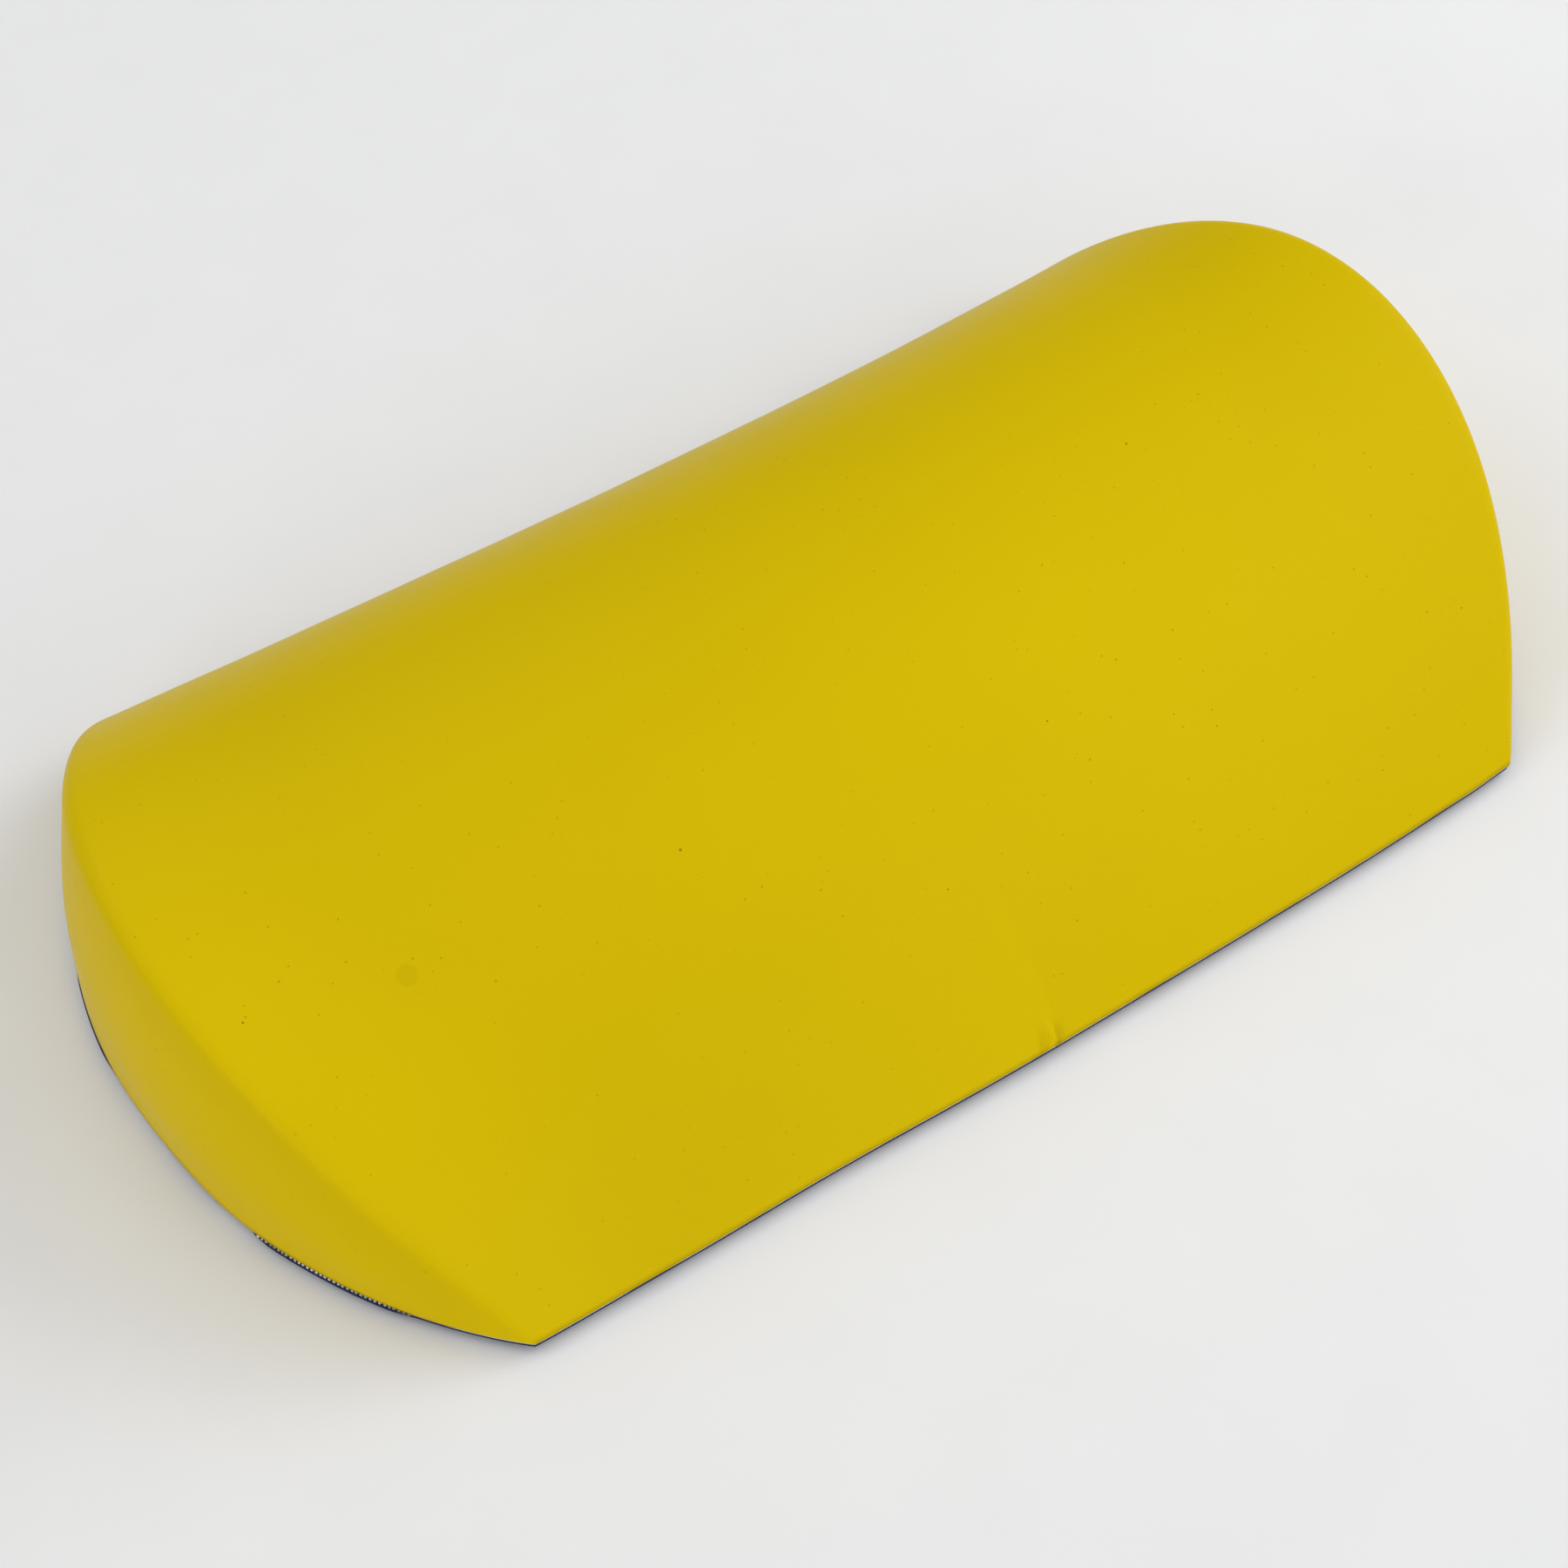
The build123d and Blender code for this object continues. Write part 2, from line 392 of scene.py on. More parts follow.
def painted_skin_light(point):
    """How light the skin is painted at a point: painted light and shade in soft patches,
    painted light on the arch towards the left end, and painted shade in a band below each
    crease.
    """
    painted_shading = PLAIN_TONE
    for x, y, reach, gain in PAINTED_LIGHT_PATCHES:
        painted_shading += gain * bell((point.xy - Vector((x, y)) * MM).length, reach * MM)
    height = point.z - PAD_Z
    depth = depth_below_arch(point)
    off = math.hypot(abs(point.x) - END_CENTRE_X, point.y - END_MID_Y)
    inside = END_RADIUS - height * END_SLOPE - off
    # painted light on the arch towards the left end
    if point.x < 0 and depth < ON_ARCH:
        painted_shading += END_PAINTED_LIGHT * smoothstep(*END_PAINTED_LIGHT_REACH, inside)
    # painted shade in a band below each crease
    deep = smoothstep(*BAND_TOP, depth) * smoothstep(*BAND_FOOT, depth)
    return painted_shading - CREASE_PAINTED_SHADE * deep * smoothstep(*BAND_WALLS, depth + height)


# ---------------------------------------------------------------- base cloth and its ribs
CLOTH_EDGE_STEPS = 7
RIB_PITCH = 1.0 * MM
RIB_WIDTH = 0.42 * MM
RIB_SEED = 5
FILM_LOW, FILM_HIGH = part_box("bond_film")
LOOSE = (-68 * MM, -39 * MM)  # stretch of the left end, in Y, where the cloth shows more
TUCKED = (-36 * MM, 7 * MM)   # stretch where the skin is turned in over the cloth
SHOWING = (12 * MM, 36 * MM)  # stretch where the cloth stands out without ribs
LOOSE_SOFT, TUCKED_SOFT, SHOWING_SOFT = 3 * MM, 2 * MM, 4 * MM  # how soft their ends are
FILM_BACK = 0.06 * MM         # how far the film lies back from the edge, but where loose
FILM_TUCK = 0.40 * MM         # and where tucked
CLOTH_BACK = 0.10 * MM        # how far the cloth lies back from the edge
CLOTH_LOOSE, CLOTH_TUCK, CLOTH_SHOW = 0.48 * MM, 0.95 * MM, 0.35 * MM
LAYER_SPACING = 1.2 * MM      # between points round a layer's edge
AREA_SPACING = 3 * MM         # the same, where only the area matters
HOLE_POINTS = 96
SHARP_LAYER, SHARP_FOAM = math.radians(50), math.radians(40)


def base_outline(spacing):
    """Evenly spaced points round the pad's base edge, each with its outward direction."""
    rows = pad_rows(0)
    corners = [rows[j][i].xy for j, i in base_loop(rows)]
    total = sum((b - a).length for a, b in zip(corners, corners[1:] + corners[:1]))
    count = round(total / spacing)
    step = total / count
    points = []
    walked = 0.0
    for a, b in zip(corners, corners[1:] + corners[:1]):
        edge = (b - a).length
        while edge > 0 and len(points) < count and walked + edge >= len(points) * step:
            points.append(a.lerp(b, (len(points) * step - walked) / edge))
        walked += edge
    outline = []
    for k, p in enumerate(points):
        along = points[(k + 1) % count] - points[k - 1]
        outline.append((p, Vector((along.y, -along.x)).normalized()))
    return outline


def stretch(p, span, soft):
    """1 inside a stretch of the left end's base edge, 0 outside, soft at both ends."""
    if p.x > -CORNER_X:
        return 0
    low, high = span
    begun = smoothstep(low - soft, low + soft, p.y)
    return begun * smoothstep(high + soft, high - soft, p.y)


def layer_reach(p):
    """How far the film's and the cloth's edges reach out from the plain outline."""
    loose = stretch(p, LOOSE, LOOSE_SOFT)
    tucked = stretch(p, TUCKED, TUCKED_SOFT)
    edge = edge_wander(p)
    film = edge - FILM_BACK * (1 - loose) - FILM_TUCK * tucked
    cloth = edge - CLOTH_BACK + CLOTH_LOOSE * loose - CLOTH_TUCK * tucked
    return film, cloth + CLOTH_SHOW * stretch(p, SHOWING, SHOWING_SOFT)


def make_layer(name, spacing, profile_at, low, high):
    """A flat layer with the pad's outline, an edge profile and four round openings."""
    rings = []
    for p, out in base_outline(spacing):
        for k, (offset, z) in enumerate(profile_at(p)):
            if len(rings) == k:
                rings.append([])
            q = p + out * offset
            rings[k].append(Vector((q.x, q.y, z)))
    turn = [2 * math.pi * k / HOLE_POINTS for k in range(HOLE_POINTS)]
    circle = [Vector((math.cos(a), math.sin(a))) * WELL_RADIUS for a in turn]
    holes = [[place.xy + point for point in circle] for place in CUP_PLACES]
    bm = bmesh.new()
    flat_sheet(bm, rings[0], holes, low, flip=True)
    flat_sheet(bm, rings[-1], holes, high, flip=False)
    for a, b in zip(rings, rings[1:]):
        band(bm, a, b)
    for hole in holes:
        upper = [Vector((p.x, p.y, high)) for p in hole]
        lower = [Vector((p.x, p.y, low)) for p in hole]
        band(bm, upper, lower)
    bmesh.ops.remove_doubles(bm, verts=bm.verts, dist=1e-6)
    layer = finish_mesh(bm, name)
    layer.data.set_sharp_from_angle(angle=SHARP_LAYER)
    return layer


ROLL_REACH = 1.2 * MM         # how far in the cloth's rolled edge starts
ROLL_SHARE = 0.60             # how much of the cloth's thickness it takes up
TOP_BEVEL = 0.1 * MM


def make_cloth():
    """The cloth under the pad, with its outer edge rolled under."""
    low, high = CLOTH_LOW.z, CLOTH_HIGH.z
    rise = ROLL_SHARE * (high - low)

    def profile_at(p):
        reach = layer_reach(p)[1]
        profile = []
        for step in range(CLOTH_EDGE_STEPS + 1):
            u = math.pi / 2 * step / CLOTH_EDGE_STEPS
            offset = reach - ROLL_REACH * (1 - math.sin(u))
            profile.append((offset, low + rise * (1 - math.cos(u))))
        return profile + [(reach, high - TOP_BEVEL), (reach - TOP_BEVEL, high)]

    return make_layer("cloth", LAYER_SPACING, profile_at, low, high)


FILM_FOOT, FILM_HEAD = 0.05 * MM, 0.03 * MM  # how far its edge leans in below and above
FILM_BELLY = 0.1 * MM         # height above its foot where it reaches out furthest


def make_film():
    """The adhesive film between the cloth and the pad."""
    low, high = FILM_LOW.z, FILM_HIGH.z

    def profile_at(p):
        reach = layer_reach(p)[0]
        foot, head = (reach - FILM_FOOT, low), (reach - FILM_HEAD, high)
        return [foot, (reach, low + FILM_BELLY), head]

    return make_layer("film", LAYER_SPACING, profile_at, low, high)


def cloth_area():
    """The cloth's area in plan, less its four openings."""
    points = [p for p, _ in base_outline(AREA_SPACING)]
    doubled = sum(a.x * b.y - b.x * a.y for a, b in zip(points, points[1:] + points[:1]))
    return abs(doubled) / 2 - len(CUP_PLACES) * math.pi * WELL_RADIUS**2


def band(bm, lower, upper):
    """A closed strip of faces between two rings of points."""
    a = [bm.verts.new(p) for p in lower]
    b = [bm.verts.new(p) for p in upper]
    for k in range(len(a)):
        m = (k + 1) % len(a)
        bm.faces.new([a[k], a[m], b[m], b[k]])


SHEET_PITCH = 6 * MM          # between the inner points of a flat face
SHEET_COLUMNS, SHEET_ROWS = range(-27, 28), range(-15, 16)
ROW_SHARE = 0.87              # rows stand closer than columns, for even triangles
HOLE_ROOM, EDGE_ROOM = 2 * MM, 5 * MM  # kept free of inner points
WELD = 1e-7


def clear_of_edges(p):
    """Whether a place in plan is well inside the sheet and outside its openings."""
    far = all((p - place.xy).length > WELL_RADIUS + HOLE_ROOM for place in CUP_PLACES)
    return far and inside_outline(p, EDGE_ROOM)


def flat_sheet(bm, outer, holes, z, flip):
    """A flat face inside the outer ring, open at the holes, in well-shaped triangles."""
    points = [v.xy for v in outer]
    edges = [(k, (k + 1) % len(points)) for k in range(len(points))]
    for hole in holes:
        first = len(points)
        points += hole
        edges += [(first + k, first + (k + 1) % len(hole)) for k in range(len(hole))]
    for i in SHEET_COLUMNS:
        for j in SHEET_ROWS:
            p = Vector((i + 0.5 * (j % 2), j * ROW_SHARE)) * SHEET_PITCH
            if clear_of_edges(p):
                points.append(p)
    verts, _, faces, *_ = delaunay_2d_cdt(points, edges, [], 1, WELD)
    made = [bm.verts.new((p.x, p.y, z)) for p in verts]
    for face in faces:
        middle = sum((verts[k] for k in face), Vector((0, 0))) / len(face)
        if any((middle - place.xy).length < WELL_RADIUS * 0.999 for place in CUP_PLACES):
            continue
        corners = [made[k] for k in face]
        bm.faces.new(corners[::-1] if flip else corners)


def inside_outline(p, margin):
    """Whether a point in plan is inside the pad's base edge by at least margin."""
    off = math.hypot(abs(p.x) - END_CENTRE_X, p.y - END_MID_Y)
    in_ends = off < END_RADIUS - margin
    centre = BOW_AXIS_Y - p.y
    radius = math.hypot(p.x, centre)
    return in_ends and BACK_RADIUS + margin < radius < BOW_RADIUS - margin


LEAST_LOOSE = 0.3             # teeth stand only where the edge is at least this loose
TOOTH_ROOT = 0.2 * MM         # how far below the cloth's top a tooth starts
TOOTH_DEPTH = 0.4 * MM
TOOTH_TIP = 0.8               # a tooth's width at its tip, as a share of its root
JITTER, LIFT, SPREAD = (-0.12, 0.12), (-0.1, 0), (0.8, 1.15)


def make_teeth(name, start, width, stand):
    """Short upright teeth at RIB_PITCH, over the film where the cloth's edge is loose.

    start shifts them along the edge, and stand is how far they stand out of the film."""
    low = CLOTH_HIGH.z - TOOTH_ROOT
    top = FILM_HIGH.z
    bm = bmesh.new()
    rng = random.Random(RIB_SEED + len(name))
    for p, out in base_outline(RIB_PITCH):
        jitter = rng.uniform(*JITTER)
        lift = rng.uniform(*LIFT)
        spread = rng.uniform(*SPREAD)
        if stretch(p, LOOSE, LOOSE_SOFT) < LEAST_LOOSE:
            continue
        along = Vector((-out.y, out.x))
        middle = p + along * (start + jitter * RIB_PITCH)
        reach = layer_reach(p)[0] + stand
        high = top + lift * MM
        root = reach - TOOTH_DEPTH
        plan = [(-1, root), (-TOOTH_TIP, reach), (TOOTH_TIP, reach), (1, root)]
        tooth = []
        for z in (low, high):
            for side, out_to in plan:
                q = middle + along * (width * spread / 2 * side) + out * out_to
                tooth.append(bm.verts.new((q.x, q.y, z)))
        for k in range(4):
            m = (k + 1) % 4
            bm.faces.new([tooth[k], tooth[m], tooth[m + 4], tooth[k + 4]])
        bm.faces.new(tooth[0:4])
        bm.faces.new(tooth[7:3:-1])
    bmesh.ops.recalc_face_normals(bm, faces=bm.faces)
    return finish_mesh(bm, name, smooth=False)


# ---------------------------------------------------------------- node materials
class Nodes:
    """A material's node tree with short ways to add and join nodes."""

    def __init__(self, name):
        self.material = bpy.data.materials.new(name)
        self.material.use_nodes = True
        self.tree = self.material.node_tree
        self.shader = self.tree.nodes["Principled BSDF"]

    def add(self, kind, **values):
        node = self.tree.nodes.new(kind)
        for key, value in values.items():
            if key in node.inputs:
                node.inputs[key].default_value = value
            else:
                setattr(node, key, value)
        return node

    def join(self, output, target):
        self.tree.links.new(output, target)

    def set(self, **values):
        for key, value in values.items():
            self.shader.inputs[key.replace("_", " ")].default_value = value

    def place(self):
        return self.add("ShaderNodeTexCoord").outputs["Object"]

    def math(self, operation, a, b=0.0):
        node = self.add("ShaderNodeMath", operation=operation)
        for socket, value in zip(node.inputs, (a, b)):
            if isinstance(value, (int, float)):
                socket.default_value = value
            else:
                self.join(value, socket)
        return node.outputs[0]

    def noise(self, scale, detail=2.0, rough=0.5):
        node = self.add("ShaderNodeTexNoise", Scale=scale, Detail=detail)
        node.inputs["Roughness"].default_value = rough
        self.join(self.place(), node.inputs["Vector"])
        return node.outputs[0]

    def between(self, value, low, high):
        """The value, from 0 to 1, spread from low to high."""
        node = self.add("ShaderNodeMapRange")
        node.inputs["To Min"].default_value = low
        node.inputs["To Max"].default_value = high
        self.join(value, node.inputs["Value"])
        return node.outputs["Result"]

    def ramp(self, value, low, high):
        """0 at low to 1 at high, smooth."""
        node = self.add("ShaderNodeMapRange", interpolation_type="SMOOTHSTEP")
        node.inputs["From Min"].default_value = low
        node.inputs["From Max"].default_value = high
        self.join(value, node.inputs["Value"])
        return node.outputs["Result"]

    def mix(self, share, a, b):
        node = self.add("ShaderNodeMix", data_type="RGBA")
        self.join(share, node.inputs[0])
        for socket, value in ((node.inputs[6], a), (node.inputs[7], b)):
            if isinstance(value, tuple):
                socket.default_value = (*value, 1)
            else:
                self.join(value, socket)
        return node.outputs[2]

    def bump(self, height, depth, under=None):
        node = self.add("ShaderNodeBump", Strength=1.0, Distance=depth)
        self.join(height, node.inputs["Height"])
        if under is not None:
            self.join(under, node.inputs["Normal"])
        return node.outputs[0]


LEAST_SPECK = 0.3             # the smallest speck's radius, as a share of the largest
SPECK_RIM = (-0.12, 0.25)     # from outside to inside, where a speck's edge comes in


def specks(nodes, cell, size, share):
    """1 inside small round specks and 0 outside, at random over the surface.

    There is at most one speck to a cell, and a share of the cells hold one. size is the
    largest radius, in cells."""
    voronoi = nodes.add("ShaderNodeTexVoronoi", Scale=1 / cell, Randomness=1.0)
    nodes.join(nodes.place(), voronoi.inputs["Vector"])
    split = nodes.add("ShaderNodeSeparateColor")
    nodes.join(voronoi.outputs["Color"], split.inputs[0])
    chosen = nodes.math("LESS_THAN", split.outputs[0], share)
    radius = nodes.math("MULTIPLY_ADD", split.outputs[1], size * (1 - LEAST_SPECK))
    nodes.tree.nodes[-1].inputs[2].default_value = size * LEAST_SPECK
    inside = nodes.math("SUBTRACT", radius, voronoi.outputs["Distance"])
    edge = nodes.ramp(inside, SPECK_RIM[0] * size, SPECK_RIM[1] * size)
    return nodes.math("MULTIPLY", edge, chosen)


YELLOW = (0.652, 0.472, 0.0020)
YELLOW_DEEP = (0.640, 0.462, 0.0019)
PIT_BROWN = (0.20, 0.13, 0.004)
SPOT = Vector((-111, -31, 47)) * MM     # a faint round mark on the pad
SPOT_RADIUS = 2.2 * MM
SPOT_EDGE = (1.15, 0.8)       # where the mark comes in, as shares of its radius
SPOT_DARK = 0.10
PITS = (11 * MM, 0.030, 0.35)           # cell, size and share of the clear pinholes
FINE_SPECKS = (2.6 * MM, 0.105, 0.85)   # the same for the faint ones
CLUSTER_SCALE = 17            # the faint ones come and go over about 60 mm
CLUSTER_EDGE = (0.38, 0.62)
FINE_STRENGTH = (0.21, 0.51)  # of the faint ones, between clusters and in them
MARK_DARK = 0.7
MARK_DEPTH = 0.12 * MM
PEEL_DEPTH = 0.015 * MM


def skin_material():
    """Moulded vinyl: satin, a faint orange peel, pinholes and slow mottling, its colour
    scaled by the painted light and shade of a vertex attribute.
    """
    n = Nodes("yellow_vinyl")
    mottle = n.ramp(n.noise(14, 3.0), 0.35, 0.7)
    # painted light and shade from the skin's vertex attribute
    painted_shading = n.add("ShaderNodeAttribute", attribute_name="painted_shading").outputs["Fac"]
    shaded = n.add("ShaderNodeVectorMath", operation="SCALE")
    n.join(n.mix(mottle, YELLOW, YELLOW_DEEP), shaded.inputs[0])
    n.join(painted_shading, shaded.inputs["Scale"])
    base = shaded.outputs["Vector"]
    off = n.add("ShaderNodeVectorMath", operation="DISTANCE")
    n.join(n.place(), off.inputs[0])
    off.inputs[1].default_value = SPOT
    rim, middle = SPOT_EDGE
    spot = n.ramp(off.outputs["Value"], SPOT_RADIUS * rim, SPOT_RADIUS * middle)
    base = n.mix(n.math("MULTIPLY", spot, SPOT_DARK), base, PIT_BROWN)
    pits = specks(n, *PITS)
    clusters = n.ramp(n.noise(CLUSTER_SCALE, 2.0), *CLUSTER_EDGE)
    strength = n.between(clusters, *FINE_STRENGTH)
    fine = n.math("MULTIPLY", specks(n, *FINE_SPECKS), strength)
    marks = n.math("MAXIMUM", pits, fine)
    marked = n.mix(n.math("MULTIPLY", marks, MARK_DARK), base, PIT_BROWN)
    n.join(marked, n.shader.inputs["Base Color"])
    n.join(n.between(n.noise(60, 3.0), 0.27, 0.35), n.shader.inputs["Roughness"])
    peel = n.bump(n.noise(900, 2.0), PEEL_DEPTH)
    hollow = n.bump(n.math("SUBTRACT", 1.0, marks), MARK_DEPTH, peel)
    n.join(hollow, n.shader.inputs["Normal"])
    n.set(Specular_IOR_Level=0.011)
    return n.material


def fabric_material(name, colour, crest_highlight, pitch):
    """Ribbed knit: ribs along the width, a fine yarn grain and a soft fuzz, painted lighter
    on the raised crests as painted highlight.
    """
    n = Nodes(name)
    ribs = n.add("ShaderNodeTexWave", wave_type="BANDS", wave_profile="SIN")
    ribs.bands_direction = "X"
    ribs.inputs["Scale"].default_value = math.tau / pitch / 20
    ribs.inputs["Distortion"].default_value = 0.6
    ribs.inputs["Detail Scale"].default_value = 2.0
    n.join(n.place(), ribs.inputs["Vector"])
    yarn = n.noise(2600, 2.0, 0.6)
    height = n.math("ADD", ribs.outputs[1], n.math("MULTIPLY", yarn, 0.5))
    # painted highlight on the raised rib crests and painted shade in the hollows
    share = n.ramp(height, 0.2, 1.3)
    n.join(n.mix(share, colour, crest_highlight), n.shader.inputs["Base Color"])
    n.join(n.bump(height, 0.12 * MM), n.shader.inputs["Normal"])
    n.set(Roughness=0.9, Sheen_Weight=0.12, Sheen_Roughness=0.4, Specular_IOR_Level=0.2)
    return n.material


FILM, FILM_STREAK, FILM_SOIL = (0.66, 0.63, 0.52), (0.80, 0.78, 0.68), (0.30, 0.25, 0.12)


def pale_film_material():
    """Milky adhesive film, a little streaked and soiled in places."""
    n = Nodes("pale_film")
    streaks = n.noise(300, 3.0)
    pale = n.mix(streaks, FILM, FILM_STREAK)
    soiled = n.ramp(n.noise(55, 2.0), 0.48, 0.62)
    n.join(n.mix(soiled, pale, FILM_SOIL), n.shader.inputs["Base Color"])
    n.join(n.between(n.noise(180), 0.45, 0.6), n.shader.inputs["Roughness"])
    n.join(n.bump(streaks, 0.02 * MM), n.shader.inputs["Normal"])
    return n.material


FOAM_CELL = 1.1 * MM
FOAM_PORE_SHADE, FOAM_PALE = (0.42, 0.36, 0.24), (0.78, 0.72, 0.56)


def foam_material():
    """Open-cell foam: pale cream with cells of about a millimetre, painted darker in each
    cell's hollow as painted shade.
    """
    n = Nodes("cream_foam")
    cells = n.add("ShaderNodeTexVoronoi", Scale=1 / FOAM_CELL)
    n.join(n.place(), cells.inputs["Vector"])
    # painted shade: darker towards the middle of each cell, where the bump sinks
    share = n.ramp(cells.outputs["Distance"], 0.1, 0.7)
    n.join(n.mix(share, FOAM_PORE_SHADE, FOAM_PALE), n.shader.inputs["Base Color"])
    n.join(n.bump(share, 0.25 * MM), n.shader.inputs["Normal"])
    n.set(Roughness=0.95, Specular_IOR_Level=0.1)
    return n.material


ROUGH_SPREAD = 0.06


def plastic_material(name, colour, shade, rough, grain):
    """Moulded plastic: slight cloudiness, spark-eroded grain and uneven gloss."""
    n = Nodes(name)
    n.join(n.mix(n.noise(45, 4.0), colour, shade), n.shader.inputs["Base Color"])
    gloss = n.between(n.noise(120, 3.0), rough - ROUGH_SPREAD, rough + ROUGH_SPREAD)
    n.join(gloss, n.shader.inputs["Roughness"])
    n.join(n.bump(n.noise(2200, 3.0), grain), n.shader.inputs["Normal"])
    return n.material


CUP_BLUE, CUP_MILK = (0.70, 0.80, 0.84), (0.86, 0.91, 0.93)
CUP_SCATTER = 2 * MM


def cup_material():
    """Soft clear vinyl: bluish, milky in the thick parts, with a wet gloss."""
    n = Nodes("clear_vinyl")
    cloud = n.noise(70, 4.0)
    n.join(n.mix(cloud, CUP_BLUE, CUP_MILK), n.shader.inputs["Base Color"])
    n.join(n.between(cloud, 0.10, 0.22), n.shader.inputs["Roughness"])
    n.join(n.bump(n.noise(500, 2.0), 0.015 * MM), n.shader.inputs["Normal"])
    n.set(IOR=1.53, Transmission_Weight=0.55, Subsurface_Weight=0.3)
    n.shader.inputs["Subsurface Radius"].default_value = (CUP_SCATTER,) * 3
    return n.material


# ---------------------------------------------------------------- studio
TARGET = Vector((-25.0, -26.9, 37.4)) * MM
CAMERA_DISTANCE = 559.8 * MM
CAMERA_TURN = math.radians(34.07)
CAMERA_ELEVATION = math.radians(52.27)
CAMERA_LENS = 65.36


def make_camera():
    """The camera, at the side and height that the pad is shown from."""
    back = Vector((
        -math.sin(CAMERA_TURN) * math.cos(CAMERA_ELEVATION),
        -math.cos(CAMERA_TURN) * math.cos(CAMERA_ELEVATION),
        math.sin(CAMERA_ELEVATION),
    ))
    data = bpy.data.cameras.new("camera")
    data.lens = CAMERA_LENS
    camera = bpy.data.objects.new("camera", data)
    camera.location = TARGET + back * CAMERA_DISTANCE
    camera.rotation_euler = back.to_track_quat("Z", "Y").to_euler()
    bpy.context.scene.collection.objects.link(camera)
    bpy.context.scene.camera = camera


LIGHT_DISTANCE = 1.5          # in metres, as is the side of each square lamp
LIGHT_SIZE = 1.0
# direction round from +X and up from the floor, in degrees, and watts
LIGHTS = {
    "right": (0, 35, 10.2),
    "front_right": (-45, 35, 4.8),
    "front_low": (-92, 16, 5.4),
    "left_low": (-160, 14, 8.4),
    "back_left": (135, 45, 4.4),
    "back": (90, 45, 2.8),
    "top": (0, 90, 2.5),
}


def make_light(name, turn, rise, power):
    """A square lamp that looks at the origin."""
    turn, rise = math.radians(turn), math.radians(rise)
    flat = math.cos(rise)
    place = Vector((flat * math.cos(turn), flat * math.sin(turn), math.sin(rise)))
    data = bpy.data.lights.new(name, "AREA")
    data.size = LIGHT_SIZE
    data.energy = power
    light = bpy.data.objects.new(name, data)
    light.location = place * LIGHT_DISTANCE
    light.rotation_euler = place.to_track_quat("Z", "Y").to_euler()
    bpy.context.scene.collection.objects.link(light)


WORLD_COLOUR, WORLD_STRENGTH = (0.95, 0.97, 1, 1), 0.23
FLOOR_SIZE = 3                # half its side, in metres
PAPER, PAPER_PALE = (0.80, 0.80, 0.80), (0.83, 0.83, 0.83)


def make_studio():
    """World light, lamps and the pale floor."""
    scene = bpy.context.scene
    scene.view_settings.view_transform = "Standard"
    world = bpy.data.worlds.new("studio")
    world.use_nodes = True
    background = world.node_tree.nodes["Background"]
    background.inputs["Color"].default_value = WORLD_COLOUR
    background.inputs["Strength"].default_value = WORLD_STRENGTH
    scene.world = world
    for name, setting in LIGHTS.items():
        make_light(name, *setting)
    bm = bmesh.new()
    bmesh.ops.create_grid(bm, x_segments=8, y_segments=8, size=FLOOR_SIZE)
    floor = finish_mesh(bm, "floor")
    n = Nodes("floor_paper")
    n.join(n.mix(n.noise(40), PAPER, PAPER_PALE), n.shader.inputs["Base Color"])
    n.set(Roughness=0.85)
    floor.data.materials.append(n.material)


def dress(node, material):
    """Gives a CAD node its material."""
    node.data.materials.clear()
    node.data.materials.append(material)


FOAM_BACK = 0.15              # how far the foam's surface lies inside its CAD form, in mm
FOAM_UNEVEN, FOAM_LUMP = 0.15, 9 * MM
FOAM_END_BACK = 0.6           # how much further at the ends, in mm
END_MARGIN, END_TILT = 5 * MM, 0.6   # what counts as an end: place and slope


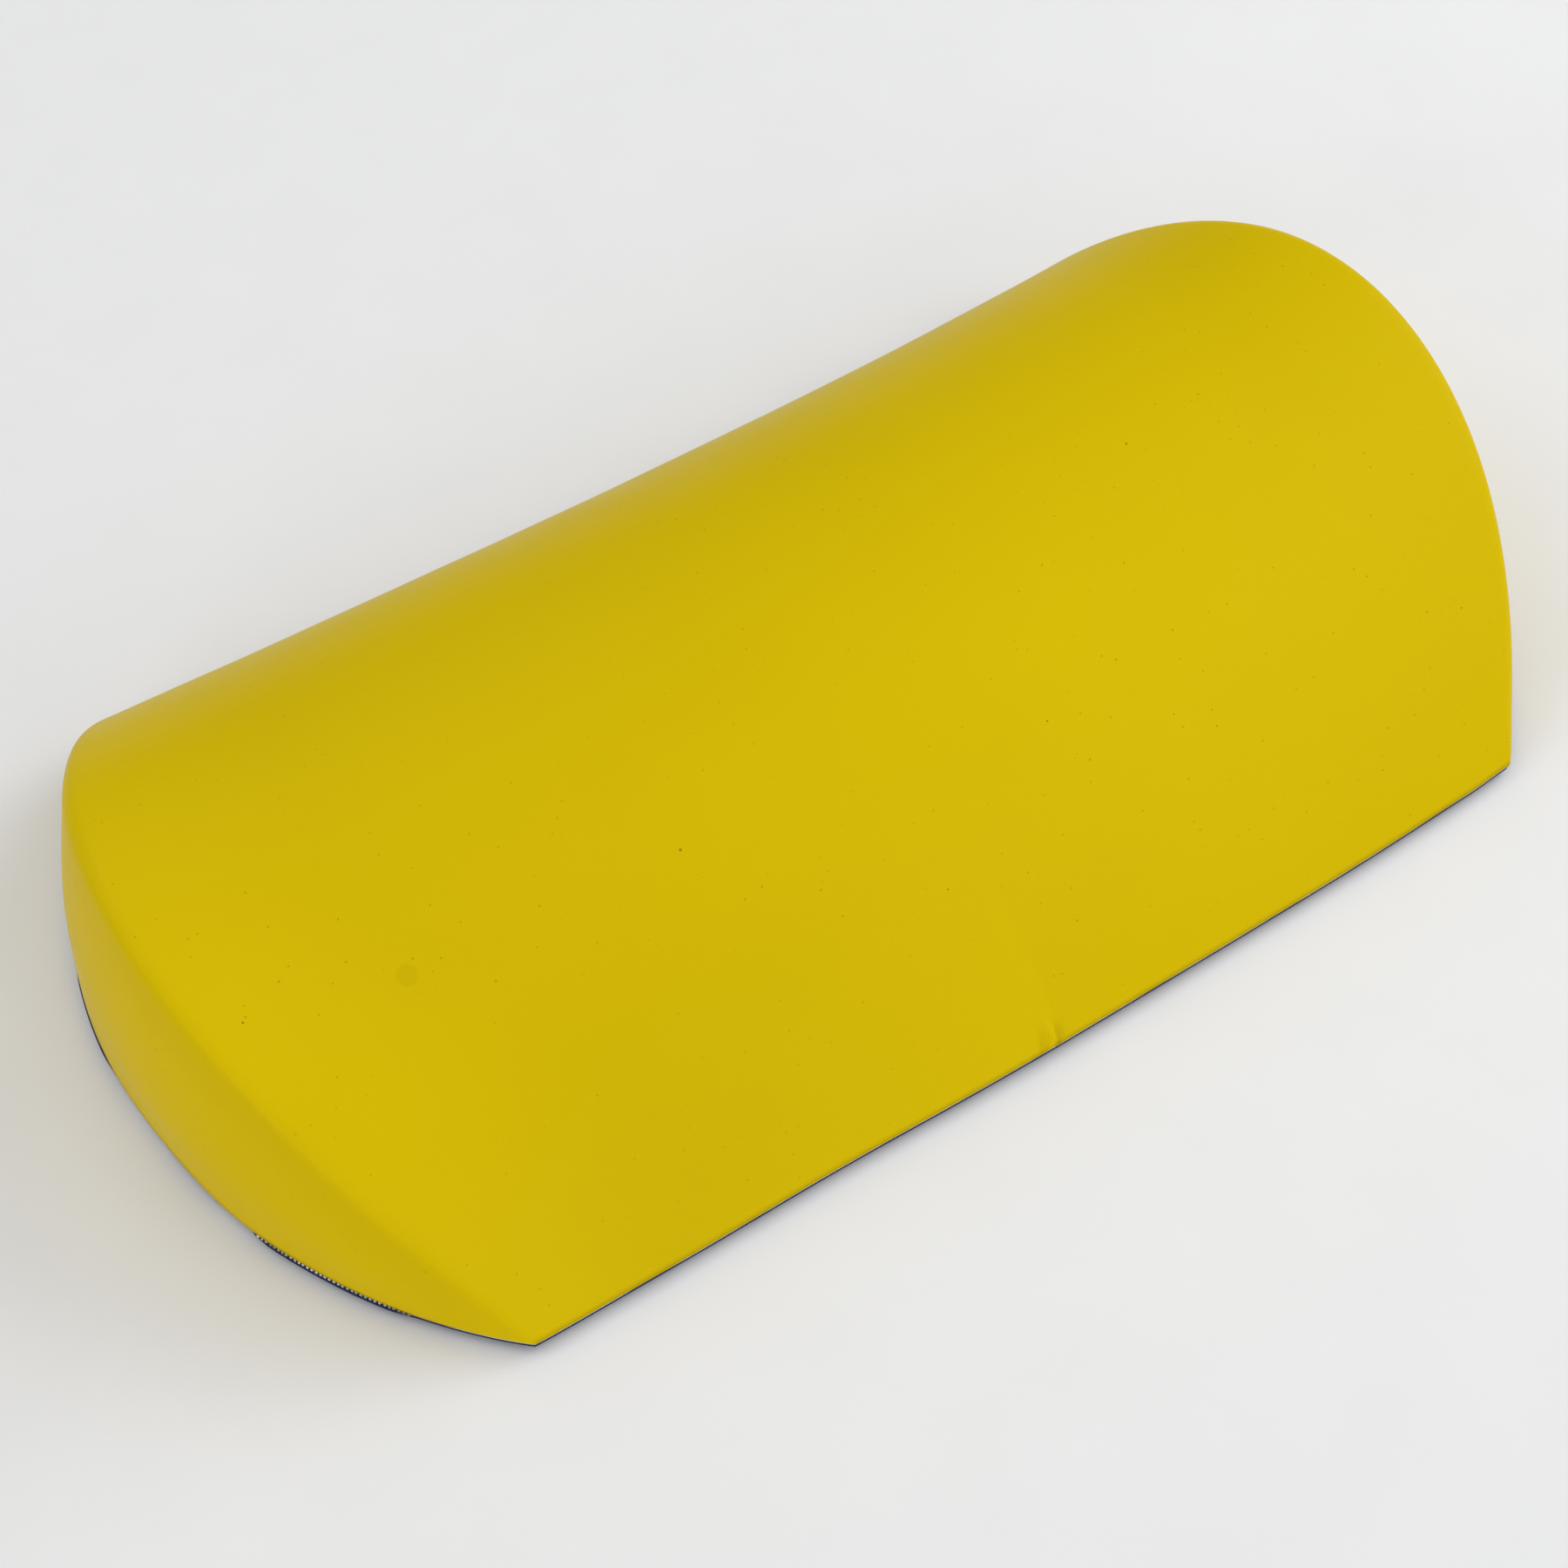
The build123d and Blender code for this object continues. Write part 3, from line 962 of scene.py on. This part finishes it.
def make_foam():
    """The foam block as its own mesh: the CAD form with a slightly uneven cut surface."""
    bm = bmesh.new()
    bm.from_mesh(NODES["foam_core"].data)
    bmesh.ops.remove_doubles(bm, verts=bm.verts, dist=1e-6)
    bm.normal_update()
    shifts = []
    for v in bm.verts:
        on_end = abs(v.co.x) > CORNER_X - END_MARGIN and abs(v.normal.x) > END_TILT
        lump = FOAM_UNEVEN * noise.noise(v.co / FOAM_LUMP)
        depth = (FOAM_BACK + lump + FOAM_END_BACK * on_end) * MM
        shifts.append(v.normal * -depth + wandered(v))
    for v, shift in zip(bm.verts, shifts):
        v.co += shift
    foam = finish_mesh(bm, "foam")
    foam.data.set_sharp_from_angle(angle=SHARP_FOAM)
    return foam


# the navy, and its painted highlight on the rib crests
NAVY, NAVY_CREST_HIGHLIGHT = (0.006, 0.010, 0.048), (0.014, 0.022, 0.092)
KNIT_PITCH = 1.0 * MM
RIB_STAND, BEAD_STAND = 0.18 * MM, 0.20 * MM  # how far they stand out of the film
# colour, its paler shade, roughness and depth of the grain
BOARD = (0.035, 0.037, 0.042), (0.050, 0.052, 0.058), 0.48, 0.03 * MM
SOCKET = (0.80, 0.80, 0.78), (0.86, 0.86, 0.84), 0.22, 0.01 * MM


def main():
    skin = make_skin()
    skin.data.materials.append(skin_material())
    film = pale_film_material()
    skin.data.materials.append(film)
    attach(skin, "pad")
    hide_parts("cover_skin")

    navy = fabric_material("navy_knit", NAVY, NAVY_CREST_HIGHLIGHT, KNIT_PITCH)
    cloth = make_cloth()
    cloth.data.materials.append(navy)
    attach(cloth, "pad")
    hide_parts("base_cloth")
    ribs = make_teeth("cloth_ribs", 0, RIB_WIDTH, RIB_STAND)
    ribs.data.materials.append(navy)
    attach(ribs, "pad")
    beads = make_teeth("film_beads", RIB_PITCH / 2, RIB_PITCH - RIB_WIDTH, BEAD_STAND)
    beads.data.materials.append(film)
    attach(beads, "pad")
    cloth_area()
    bond = make_film()
    bond.data.materials.append(film)
    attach(bond, "pad")
    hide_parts("bond_film")

    foam = make_foam()
    dress(foam, foam_material())
    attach(foam, "pad")
    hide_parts("foam_core")

    board = plastic_material("board_plastic", *BOARD)
    socket = plastic_material("socket_plastic", *SOCKET)
    cup = cup_material()
    dress(NODES["base_board"], board)
    for name, node in NODES.items():
        if name.startswith("cup_socket"):
            dress(node, socket)
        if name.startswith("suction_cup"):
            dress(node, cup)
    make_studio()
    make_camera()


main()
